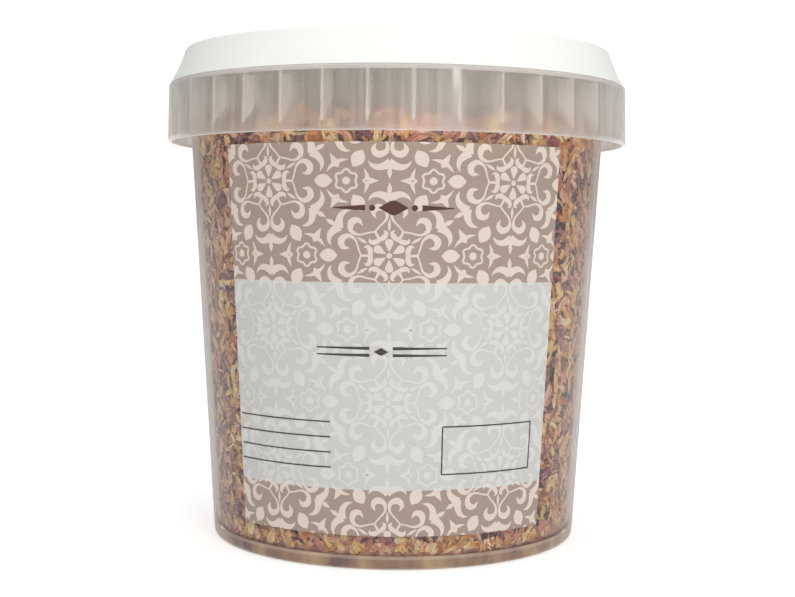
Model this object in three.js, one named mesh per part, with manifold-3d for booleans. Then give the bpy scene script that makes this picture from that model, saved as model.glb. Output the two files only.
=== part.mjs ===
// A lidded round tub of dried shallot flakes.
//
// Millimetres, +Z up, origin under the middle of the foot. The label faces -Y.
// Four pieces: the moulded tub with its ribbed collar, the press-on lid, the
// paper label round the front of the wall, and the heap of flakes inside.

import * as THREE from 'three';
import { mergeVertices } from 'three/addons/utils/BufferGeometryUtils.js';
import Module from 'manifold-3d';

const wasm = await Module();
wasm.setup();

// ---------------------------------------------------------------- dimensions

const SIDES = 60; // flats round every turned piece, so that they nest
const GAP = 0.3; // clearance between pieces that touch

// Tub wall: a straight cone, wider at the top
const WALL = 1.0;
const WALL_R_AT_FOOT = 52.85;
const WALL_FLARE = 6.65 / 110; // growth in radius per millimetre of height

// Foot: a low ring that lifts the floor off the table
const FOOT_R_IN = 49.9;
const FOOT_R_OUT = 51.4;
const FOOT_SLOPE = 1.0; // draft of the ring's inner side
const FOOT_EDGE = [52.3, 0.4]; // [radius, height] where the ring's outer edge begins to round
const WALL_START_Z = 1.6; // where the rounded edge runs into the wall
const FLOOR_UNDERSIDE_Z = 2.5;
const FLOOR_Z = 3.5;
const FLOOR_CORNER = 1.2; // bevel where the floor meets the wall inside

// Collar: a flange near the rim with a skirt that hangs clear of the wall
const COLLAR_TOP_Z = 129.6;
const COLLAR_LOW_Z = 113.2;
const COLLAR_R_TOP = 66.2;
const COLLAR_R_LOW = 66.5;
const COLLAR_THICK = 1.0;
const COLLAR_ROUND = 1.2; // rounding of the collar's top edge
const COLLAR_LOW_BEVEL = [0.5, 0.9]; // [in, up] where the skirt's lower edge is eased outside
const FLANGE_THICK = 1.4;

// Ribs: plates between the wall and the skirt, cut off slanting below
const RIB_COUNT = 36;
const RIB_TURN_DEG = 3.7; // turn of the first rib from the front
const RIB_THICK = 0.8;
const RIB_WALL_END_Z = 122.4;
const RIB_SKIRT_END_Z = 115.7;
const RIB_SINK = 0.4; // how far a rib runs into the wall and the skirt

// Neck and rim above the flange, inside the lid
const NECK_R = 60.5;
const RIM_Z = 137.3;
const BEAD_R = 60.95;
const BEAD_Z = [135.2, 135.6, 136.6]; // foot, lower edge and upper edge of the rim bead
const RIM_CHAMFER = 0.4;

// Lid: a sunk panel, a standing rim for stacking, and a flared skirt
const LID_TOP_Z = 139.5;
const LID_WALL = 1.0;
const LID_SKIRT_R = 65.9;
const LID_WAIST = [63.1, 134.3]; // [radius, height] that the skirt's outside bends towards
const LID_SHOULDER = [61.6, 139.1]; // where the outside turns in to the standing rim
const LID_CURVE_STEPS = 4;
const LID_RIM_R = [59.2, 61.3]; // inside and outside of the standing rim's flat top
const PANEL_Z = 136.0;
const PANEL_R = 57.6;
const PANEL_SHOULDER = [58.2, 138.6]; // bend between the panel's wall and the rim
const PLUG_R = 59.1; // outside of the ring that plugs the tub's mouth
const PLUG_END_Z = 131.6;
const PLUG_LEAD = [0.3, 0.8]; // chamfer that leads the plug into the mouth
const LOCK_R = 60.85; // the lid's inner bead, which locks under the rim's bead
const LOCK_Z = 134.6;
const LOCK_GROOVE = [61.5, 135.3]; // hollow above it, round the rim's bead
const LOCK_FLARE = [62.6, 133.6]; // below it the inside widens

// Label: a sheet bent round the front of the wall
const LABEL_LOW_Z = 9.2;
const LABEL_TOP_Z = 110.8;
const LABEL_LEFT_DEG = -48.5;
const LABEL_RIGHT_DEG = 46.5;
const LABEL_THICK = 0.3;

// Flakes: a heap pressed against the wall and the floor, with a domed top
const HEAP_EDGE_Z = 117.0;
const HEAP_CROWN_Z = 120.0;
const FLAKE_RELIEF = 2.6; // how far flakes may stand out of the heap's core
const CORE_SIDES = 30;
const FLAKE_LENGTH = [18, 24];
const FLAKE_WIDTH = [12, 16];
const FLAKE_CORNERS = 5;
const FLAKE_TILT = 0.2;
const FLAKE_RIM = 0.4; // height of a flake's edge, as a share of the relief
const FLAKE_CROWN = 0.8; // height of its middle
const FLAKE_WAVE = 0.3; // how unevenly its edge stands
const FLAKE_SHIFT = 0.4; // how far a flake may stray from its row, as a share of the pitch
const FLAKE_ROW_PITCH = 13;
const FLAKE_ROW_INSET = 5; // first and last row from the heap's ends
const FLAKE_SPACING = 18;
const FLAKE_RING_R = 4; // innermost ring of flakes on the crown and the bottom
const FLAKE_ROOT = 2.8; // depth of a flake's root in the core

const wallR = (z) => WALL_R_AT_FOOT + WALL_FLARE * z;
const innerR = (z) => wallR(z) - WALL;

// ------------------------------------------------------------------- helpers

// A closed three.js geometry as a solid that can be joined and cut.
function solid(geometry) {
  geometry.deleteAttribute('normal');
  geometry.deleteAttribute('uv');
  const merged = mergeVertices(geometry, 1e-4);
  const triVerts = [];
  const index = merged.index.array;
  for (let i = 0; i < index.length; i += 3) {
    const [a, b, c] = [index[i], index[i + 1], index[i + 2]];
    if (a !== b && b !== c && c !== a) triVerts.push(a, b, c);
  }
  return new wasm.Manifold(new wasm.Mesh({
    numProp: 3,
    vertProperties: new Float32Array(merged.attributes.position.array),
    triVerts: new Uint32Array(triVerts),
  }));
}

// A solid back as a named mesh in its own material.
function piece(name, body, material) {
  const geometry = outerShell(body);
  geometry.computeVertexNormals();
  const result = new THREE.Mesh(geometry, new THREE.MeshStandardMaterial(material));
  result.name = name;
  return result;
}

// The largest closed shell of a solid: sealed hollows are filled and loose scraps dropped.
function outerShell(body) {
  const mesh = body.getMesh();
  const { vertProperties, triVerts } = mesh;
  const root = Array.from({ length: vertProperties.length / 3 }, (_, i) => i);
  const find = (i) => {
    while (root[i] !== i) i = root[i] = root[root[i]];
    return i;
  };
  for (let i = 0; i < triVerts.length; i += 3) {
    root[find(triVerts[i])] = find(triVerts[i + 1]);
    root[find(triVerts[i + 1])] = find(triVerts[i + 2]);
  }
  const shells = new Map();
  for (let i = 0; i < triVerts.length; i += 3) {
    const shell = find(triVerts[i]);
    if (!shells.has(shell)) shells.set(shell, []);
    shells.get(shell).push(triVerts[i], triVerts[i + 1], triVerts[i + 2]);
  }
  const largest = [...shells.values()].reduce((a, b) => (a.length > b.length ? a : b));
  const geometry = new THREE.BufferGeometry();
  geometry.setAttribute('position', new THREE.BufferAttribute(vertProperties, 3));
  geometry.setIndex(largest);
  return geometry;
}

// A turned solid about +Z from [radius, height] points, its seam at the front.
function turned(profile, sides = SIDES) {
  const points = profile.map(([r, z]) => new THREE.Vector2(r, z));
  const geometry = new THREE.LatheGeometry(points, sides);
  geometry.rotateX(Math.PI / 2);
  return solid(geometry);
}

// Points of a quarter round from the top of an edge down to its side.
function quarterRound(centreR, centreZ, radius, steps) {
  const points = [];
  for (let i = 0; i <= steps; i++) {
    const turn = (Math.PI / 2) * (1 - i / steps);
    points.push([centreR + radius * Math.cos(turn), centreZ + radius * Math.sin(turn)]);
  }
  return points;
}

// Repeatable random numbers from 0 to 1.
function seeded(seed) {
  let state = seed;
  return () => {
    state = (state + 0x6d2b79f5) | 0;
    let t = Math.imul(state ^ (state >>> 15), 1 | state);
    t = (t + Math.imul(t ^ (t >>> 7), 61 | t)) ^ t;
    return ((t ^ (t >>> 14)) >>> 0) / 2 ** 32;
  };
}

// ----------------------------------------------------------------------- tub

function tubShell() {
  const flangeUndersideZ = COLLAR_TOP_Z - FLANGE_THICK;
  const roundZ = COLLAR_TOP_Z - COLLAR_ROUND;
  const corner = quarterRound(COLLAR_R_TOP - COLLAR_ROUND, roundZ, COLLAR_ROUND, 3);
  return turned([
    [0, FLOOR_UNDERSIDE_Z],
    [FOOT_R_IN - FOOT_SLOPE, FLOOR_UNDERSIDE_Z],
    [FOOT_R_IN, 0],
    [FOOT_R_OUT, 0],
    FOOT_EDGE,
    [wallR(WALL_START_Z), WALL_START_Z],
    [wallR(flangeUndersideZ), flangeUndersideZ],
    [COLLAR_R_TOP - COLLAR_THICK, flangeUndersideZ],
    [COLLAR_R_LOW - COLLAR_THICK, COLLAR_LOW_Z],
    [COLLAR_R_LOW - COLLAR_LOW_BEVEL[0], COLLAR_LOW_Z],
    [COLLAR_R_LOW, COLLAR_LOW_Z + COLLAR_LOW_BEVEL[1]],
    ...corner.reverse(),
    [NECK_R, COLLAR_TOP_Z],
    [NECK_R, BEAD_Z[0]],
    [BEAD_R, BEAD_Z[1]],
    [BEAD_R, BEAD_Z[2]],
    [NECK_R, RIM_Z],
    [NECK_R - WALL + RIM_CHAMFER, RIM_Z],
    [NECK_R - WALL, RIM_Z - RIM_CHAMFER],
    [NECK_R - WALL, COLLAR_TOP_Z],
    [innerR(flangeUndersideZ), flangeUndersideZ],
    [innerR(FLOOR_Z + FLOOR_CORNER), FLOOR_Z + FLOOR_CORNER],
    [innerR(FLOOR_Z) - FLOOR_CORNER, FLOOR_Z],
    [0, FLOOR_Z],
  ]);
}

// One rib, standing across the gap between the wall and the skirt.
function rib(turn) {
  const topZ = COLLAR_TOP_Z - FLANGE_THICK / 2;
  const innerEnd = wallR(RIB_WALL_END_Z) - RIB_SINK;
  const outerEnd = COLLAR_R_TOP - COLLAR_THICK + RIB_SINK;
  const outline = new THREE.Shape([
    new THREE.Vector2(innerEnd, topZ),
    new THREE.Vector2(innerEnd, RIB_WALL_END_Z),
    new THREE.Vector2(outerEnd, RIB_SKIRT_END_Z),
    new THREE.Vector2(outerEnd, topZ),
  ]);
  const plate = new THREE.ExtrudeGeometry(outline, { depth: RIB_THICK, bevelEnabled: false });
  plate.translate(0, 0, -RIB_THICK / 2);
  plate.rotateX(Math.PI / 2);
  plate.rotateZ(turn - Math.PI / 2);
  return solid(plate);
}

function tub() {
  let body = tubShell();
  for (let i = 0; i < RIB_COUNT; i++) {
    const degrees = RIB_TURN_DEG + (360 / RIB_COUNT) * i;
    body = body.add(rib(THREE.MathUtils.degToRad(degrees)));
  }
  return body;
}

// ----------------------------------------------------------------------- lid

function lid() {
  const skirtEndZ = COLLAR_TOP_Z + GAP;
  const skirtRIn = LID_SKIRT_R - LID_WALL;
  const panelUndersideZ = PANEL_Z - LID_WALL;
  const plugRIn = PLUG_R - LID_WALL;
  const rimUndersideZ = LID_TOP_Z - LID_WALL;
  const outside = new THREE.QuadraticBezierCurve(
    new THREE.Vector2(LID_SKIRT_R, skirtEndZ),
    new THREE.Vector2(...LID_WAIST),
    new THREE.Vector2(...LID_SHOULDER),
  ).getPoints(LID_CURVE_STEPS).map((point) => [point.x, point.y]);
  return turned([
    [0, panelUndersideZ],
    [plugRIn, panelUndersideZ],
    [plugRIn, PLUG_END_Z],
    [PLUG_R - PLUG_LEAD[0], PLUG_END_Z],
    [PLUG_R, PLUG_END_Z + PLUG_LEAD[1]],
    [PLUG_R, rimUndersideZ],
    [LID_RIM_R[1] - GAP, rimUndersideZ],
    LOCK_GROOVE,
    [LOCK_R, LOCK_Z],
    LOCK_FLARE,
    [skirtRIn, skirtEndZ + LID_WALL / 2],
    [skirtRIn, skirtEndZ],
    ...outside,
    [LID_RIM_R[1], LID_TOP_Z],
    [LID_RIM_R[0], LID_TOP_Z],
    PANEL_SHOULDER,
    [PANEL_R, PANEL_Z],
    [0, PANEL_Z],
  ]);
}

// --------------------------------------------------------------------- label

function label() {
  const lowR = wallR(LABEL_LOW_Z) + GAP;
  const topR = wallR(LABEL_TOP_Z) + GAP;
  const sleeve = turned([
    [lowR, LABEL_LOW_Z],
    [lowR + LABEL_THICK, LABEL_LOW_Z],
    [topR + LABEL_THICK, LABEL_TOP_Z],
    [topR, LABEL_TOP_Z],
    [lowR, LABEL_LOW_Z],
  ]);
  const left = THREE.MathUtils.degToRad(LABEL_LEFT_DEG);
  const right = THREE.MathUtils.degToRad(LABEL_RIGHT_DEG);
  const reach = 2 * topR;
  const sector = new THREE.Shape([
    new THREE.Vector2(0, 0),
    new THREE.Vector2(reach * Math.sin(left), -reach * Math.cos(left)),
    new THREE.Vector2(reach * Math.sin(right), -reach * Math.cos(right)),
  ]);
  const wedge = new THREE.ExtrudeGeometry(sector, { depth: COLLAR_LOW_Z, bevelEnabled: false });
  return sleeve.intersect(solid(wedge));
}

// -------------------------------------------------------------------- flakes

// The heap's smooth core, which the flakes stand out of.
function core() {
  const clear = GAP + FLAKE_RELIEF;
  const lowZ = FLOOR_Z + clear;
  const edgeR = innerR(HEAP_EDGE_Z) - clear;
  const dome = (r) => HEAP_EDGE_Z + (HEAP_CROWN_Z - HEAP_EDGE_Z) * (1 - (r / edgeR) ** 2) - clear;
  return turned([
    [0, lowZ],
    [innerR(lowZ) - clear, lowZ],
    [edgeR, dome(edgeR)],
    [edgeR / 2, dome(edgeR / 2)],
    [0, dome(0)],
  ], CORE_SIDES);
}

// One flake, a domed chip on a pointed root, as [along, across, out] points
// that `place` maps onto the heap.
function flake(random, place) {
  const between = ([low, high]) => low + (high - low) * random();
  const length = between(FLAKE_LENGTH);
  const width = between(FLAKE_WIDTH);
  const spin = Math.PI * random();
  const tilt = FLAKE_TILT * (random() - 0.5);
  const points = [];
  const add = (x, y, out) => points.push(place(
    x * Math.cos(spin) - y * Math.sin(spin),
    x * Math.sin(spin) + y * Math.cos(spin),
    Math.min(out, FLAKE_RELIEF),
  ));
  for (let i = 0; i < FLAKE_CORNERS; i++) {
    const turn = ((i + 0.5 * random()) / FLAKE_CORNERS) * 2 * Math.PI;
    const x = 0.5 * length * Math.cos(turn);
    const y = 0.5 * width * Math.sin(turn);
    add(x, y, FLAKE_RELIEF * (FLAKE_RIM + FLAKE_WAVE * (random() - 0.5)) + tilt * x);
  }
  add(0, 0, FLAKE_RELIEF * FLAKE_CROWN);
  add(0, 0, -FLAKE_ROOT);
  const index = [];
  for (let i = 0; i < FLAKE_CORNERS; i++) {
    const next = (i + 1) % FLAKE_CORNERS;
    index.push(i, next, FLAKE_CORNERS);
    index.push(next, i, FLAKE_CORNERS + 1);
  }
  const geometry = new THREE.BufferGeometry().setFromPoints(points);
  geometry.setIndex(index);
  return solid(geometry);
}

function flakes() {
  const random = seeded(7);
  const clear = GAP + FLAKE_RELIEF;
  const floorZ = FLOOR_Z + GAP;
  let body = core();

  // Rows round the side, wrapped on the wall's cone
  const firstZ = FLOOR_Z + FLAKE_ROW_INSET;
  const lastZ = HEAP_EDGE_Z - FLAKE_ROW_INSET;
  const rows = Math.round((lastZ - firstZ) / FLAKE_ROW_PITCH);
  for (let row = 0; row <= rows; row++) {
    const z = firstZ + ((lastZ - firstZ) * row) / rows;
    const count = Math.round((2 * Math.PI * (innerR(z) - clear)) / FLAKE_SPACING);
    for (let i = 0; i < count; i++) {
      const halfStep = 0.5 * (row % 2);
      const turn = (2 * Math.PI * (i + halfStep + FLAKE_SHIFT * (random() - 0.5))) / count;
      const middleZ = z + FLAKE_SHIFT * FLAKE_ROW_PITCH * (random() - 0.5);
      body = body.add(flake(random, (x, y, out) => {
        const height = THREE.MathUtils.clamp(middleZ + y, floorZ, HEAP_EDGE_Z);
        const r = innerR(height) - clear + out;
        const angle = turn + x / r;
        return new THREE.Vector3(r * Math.sin(angle), -r * Math.cos(angle), height);
      }));
    }
  }

  // Rings on the crown and under the bottom
  const rings = (surfaceZ, side) => {
    const lastR = innerR(surfaceZ(0)) - clear - FLAKE_RING_R / 2;
    for (let r = FLAKE_RING_R; r < lastR; r += FLAKE_SPACING - 1) {
      const count = Math.max(3, Math.round((2 * Math.PI * r) / FLAKE_SPACING));
      for (let i = 0; i < count; i++) {
        const turn = (2 * Math.PI * (i + FLAKE_SHIFT * random())) / count;
        body = body.add(flake(random, (x, y, out) => {
          const px = r * Math.sin(turn) + side * x;
          const py = y - r * Math.cos(turn);
          const z = surfaceZ(Math.hypot(px, py)) + side * out;
          const reach = innerR(z) - GAP;
          const shrink = Math.min(1, reach / Math.hypot(px, py));
          return new THREE.Vector3(px * shrink, py * shrink, z);
        }));
      }
    }
  };
  const edgeR = innerR(HEAP_EDGE_Z) - clear;
  const rise = HEAP_CROWN_Z - HEAP_EDGE_Z;
  rings((r) => HEAP_EDGE_Z - clear + rise * (1 - (r / edgeR) ** 2), 1);
  rings(() => FLOOR_Z + clear, -1);
  return body;
}

// ------------------------------------------------------------------ assembly

const group = new THREE.Group();
group.add(
  piece('tub', tub(), { color: 0xcfc8c0, roughness: 0.45, metalness: 0 }),
  piece('lid', lid(), { color: 0xf6f8f2, roughness: 0.4, metalness: 0 }),
  piece('label', label(), { color: 0xb3a297, roughness: 0.5, metalness: 0 }),
  piece('flakes', flakes(), { color: 0xb08355, roughness: 0.8, metalness: 0 }),
);

export default group;
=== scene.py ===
import math
import random

import bmesh
import bpy
from mathutils import Euler, Matrix, Vector


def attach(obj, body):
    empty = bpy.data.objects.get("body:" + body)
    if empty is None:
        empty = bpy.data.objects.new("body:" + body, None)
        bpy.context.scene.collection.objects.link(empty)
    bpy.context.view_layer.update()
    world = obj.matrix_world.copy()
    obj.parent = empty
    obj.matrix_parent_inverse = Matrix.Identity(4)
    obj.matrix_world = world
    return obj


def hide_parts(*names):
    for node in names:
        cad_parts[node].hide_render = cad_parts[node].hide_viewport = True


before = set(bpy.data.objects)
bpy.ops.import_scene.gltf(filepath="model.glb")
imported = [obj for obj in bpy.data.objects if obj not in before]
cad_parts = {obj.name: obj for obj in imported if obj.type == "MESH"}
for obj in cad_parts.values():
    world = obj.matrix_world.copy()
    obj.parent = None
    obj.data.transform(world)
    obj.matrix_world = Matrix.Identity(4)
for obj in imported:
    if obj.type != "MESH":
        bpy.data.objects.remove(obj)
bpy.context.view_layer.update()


# ---------------------------------------------------------------- the studio
# A camera a little above the middle of the tub, tipped slightly down, at a
# white light table in a white tent. Two softboxes stand ahead, a small lamp
# draws one highlight on the collar, and a bank of light hangs above.

MM = 0.001
CAMERA_AHEAD = 397.5 * MM
CAMERA_RIGHT = 0.67 * MM
CAMERA_HEIGHT = 89.1 * MM
CAMERA_TIP = math.radians(3.0)
CAMERA_LEAN = math.radians(0.55)
FOCAL_LENGTH = 60.72
FILM_WIDTH = 36.0

film = bpy.data.cameras.new("studio_camera")
film.lens = FOCAL_LENGTH
film.sensor_width = FILM_WIDTH
film.sensor_fit = "HORIZONTAL"
camera = bpy.data.objects.new("studio_camera", film)
camera.matrix_world = (
    Matrix.Translation((CAMERA_RIGHT, -CAMERA_AHEAD, CAMERA_HEIGHT))
    @ Matrix.Rotation(math.pi / 2 - CAMERA_TIP, 4, "X")
    @ Matrix.Rotation(CAMERA_LEAN, 4, "Z")
)
bpy.context.collection.objects.link(camera)
bpy.context.scene.camera = camera
bpy.context.scene.view_settings.view_transform = "Standard"


def linear(colour):
    """The linear colour of an sRGB hex value, with an alpha of 1."""
    parts = [int(colour[i:i + 2], 16) / 255 for i in (1, 3, 5)]
    return (*[p / 12.92 if p <= 0.04045 else ((p + 0.055) / 1.055) ** 2.4 for p in parts], 1.0)


def add_node(tree, kind, inputs=None, **settings):
    """Adds a node with its settings; each input takes a value or another node's output."""
    made = tree.nodes.new(kind)
    for name, value in settings.items():
        setattr(made, name, value)
    for name, value in (inputs or {}).items():
        if isinstance(value, bpy.types.NodeSocket):
            tree.links.new(value, made.inputs[name])
        else:
            made.inputs[name].default_value = value
    return made


def new_material(name):
    """An empty material, its tree, and its output node."""
    made = bpy.data.materials.new(name)
    made.use_nodes = True
    made.node_tree.nodes.clear()
    return made, made.node_tree, add_node(made.node_tree, "ShaderNodeOutputMaterial")


def link_object(name, shape, *materials):
    """A bmesh as a named object with its materials."""
    mesh = bpy.data.meshes.new(name)
    shape.to_mesh(mesh)
    shape.free()
    for material in materials:
        mesh.materials.append(material)
    made = bpy.data.objects.new(name, mesh)
    bpy.context.collection.objects.link(made)
    return made


TABLE_HALF = 6.0
TABLE_GLOW = 0.37


def lit_table_material():
    """White opal acrylic on a light table: matt, and faintly lit from below, so that
    it holds only a short soft shadow."""
    material, tree, output = new_material("opal_acrylic")
    board = add_node(tree, "ShaderNodeBsdfPrincipled", {
        "Base Color": linear("#ECECEC"), "Roughness": 0.9, "Specular IOR Level": 0.1,
        "Emission Color": linear("#FFFFFF"), "Emission Strength": TABLE_GLOW})
    tree.links.new(board.outputs[0], output.inputs["Surface"])
    return material


table_shape = bmesh.new()
bmesh.ops.create_grid(table_shape, x_segments=1, y_segments=1, size=TABLE_HALF)
table = link_object("table", table_shape, lit_table_material())


def white_tent(seen, mirrored, given):
    """A tent of white cloth round the table. It is seen as plain white, also through clear
    and frosted plastic, and mirrors as a pale grey, but it gives back only a little of the
    lamps' light."""
    tent = bpy.data.worlds.new("white_tent")
    tent.use_nodes = True
    tree = tent.node_tree
    path = add_node(tree, "ShaderNodeLightPath")
    strength = add_node(tree, "ShaderNodeMapRange", {
        "Value": path.outputs["Is Glossy Ray"], "To Min": given, "To Max": mirrored})
    through = add_node(tree, "ShaderNodeMath", {
        0: path.outputs["Is Transmission Ray"], 1: path.outputs["Is Diffuse Ray"]},
        operation="SUBTRACT", use_clamp=True)
    looked_at = add_node(tree, "ShaderNodeMath", {
        0: path.outputs["Is Camera Ray"], 1: through.outputs[0]}, operation="MAXIMUM")
    whole = add_node(tree, "ShaderNodeMix", {
        0: looked_at.outputs[0], 2: strength.outputs[0], 3: seen})
    tree.links.new(whole.outputs[0], tree.nodes["Background"].inputs["Strength"])
    tree.nodes["Background"].inputs["Color"].default_value = (1, 1, 1, 1)
    return tent


bpy.context.scene.world = white_tent(seen=1.1, mirrored=0.55, given=0.27)


LAMP_AIM = (0, 0, 0.1)


def softbox(name, turn, height, distance, size, power, mirrored=True):
    """A square lamp that looks at the tub, turned round it from the front by degrees. A
    lamp that isn't mirrored leaves no highlight on gloss, as behind a polarising sheet."""
    lamp = bpy.data.lights.new(name, "AREA")
    lamp.size = size
    lamp.energy = power
    made = bpy.data.objects.new(name, lamp)
    made.visible_glossy = mirrored
    place = Matrix.Rotation(math.radians(turn), 3, "Z") @ Vector((0, -distance, height))
    aim = (Vector(LAMP_AIM) - place).to_track_quat("-Z", "Y")
    made.matrix_world = Matrix.Translation(place) @ aim.to_matrix().to_4x4()
    bpy.context.collection.objects.link(made)


softbox("softbox_ahead", 8, 0.6, 1.4, 0.9, 6.0, mirrored=False)
softbox("softbox_right", 25, 0.4, 1.3, 0.5, 3.2, mirrored=False)
softbox("small_lamp_right", 27, 0.315, 1.3, 0.07, 0.2)

bank = bpy.data.lights.new("light_bank_above", "SUN")
bank.angle = math.radians(100)
bank.energy = 1.9
bpy.context.collection.objects.link(bpy.data.objects.new("light_bank_above", bank))


# ------------------------------------------------------------------- the tub
# One injection moulding of natural polypropylene: a floor on a low foot ring,
# a tapered wall, and a collar whose skirt hangs clear of the wall. The rim
# and its bead stand above the collar, inside the lid.

WALL_THICK = 1.0
FOOT_RADIUS = 52.85
FOOT_RING = (49.9, 51.4)
FOOT_DRAFT = 1.0
FOOT_ROUND = 1.6
WALL_FLARE = 6.65 / 110
FLOOR_UNDERSIDE = 2.5
FLOOR_TOP = 3.5
FOOT_TOP = 3.9
FOOT_LINE = 3.3
FOOT_REACH = 42
FLANGE_UNDERSIDE = 128.2
COLLAR_TOP = 129.6
COLLAR_ROUND = 0.6
SKIRT_END = 113.2
SKIRT_RADIUS = (66.5, 66.2)
SKIRT_BEVEL = (0.5, 0.9)
SKIRT_LOOP = 0.3  # edge loops this near its ends keep the skirt's shading straight
NECK_RADIUS = 60.5
RIM_BEAD = (0.5, 136.0)
RIM_TOP = 137.3
TURN_STEPS = 180
RIM_FACING = (0.76, 0.86)
# From this height up the wall lets a greyer tint through: painted shade for the dim space inside above
# the heap.
SHADE_FILM_FROM = 119.0


def wall_radius(height):
    """Outer radius of the tapered wall, in millimetres."""
    return FOOT_RADIUS + WALL_FLARE * height


def arc(centre, radius, start, end, steps):
    """Points on an arc, with its angles in degrees from straight out towards up."""
    points = []
    for i in range(steps + 1):
        angle = math.radians(start + (end - start) * i / steps)
        points.append((centre[0] + radius * math.cos(angle), centre[1] + radius * math.sin(angle)))
    return points


def turned(outline):
    """A bmesh of an outline in (radius, height) millimetres, spun round the tub's axis."""
    shape = bmesh.new()
    corners = [shape.verts.new((0, -r * MM, z * MM)) for r, z in outline]
    ends = [] if outline[0][0] == 0 else [(corners[-1], corners[0])]
    edges = [shape.edges.new(pair) for pair in [*zip(corners, corners[1:]), *ends]]
    bmesh.ops.spin(shape, geom=corners + edges, axis=(0, 0, 1), cent=(0, 0, 0),
                   angle=2 * math.pi, steps=TURN_STEPS, use_merge=True)
    bmesh.ops.remove_doubles(shape, verts=shape.verts, dist=0.001 * MM)
    bmesh.ops.recalc_face_normals(shape, faces=shape.faces)
    for face in shape.faces:
        face.smooth = True
    return shape


def soften(piece, width):
    """Rounds a piece's sharp edges a little, as a mould does."""
    bevel = piece.modifiers.new("mould_radius", "BEVEL")
    bevel.width = width * MM
    bevel.segments = 2
    bevel.limit_method = "ANGLE"
    bevel.angle_limit = math.radians(30)
    bevel.harden_normals = True


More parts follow.
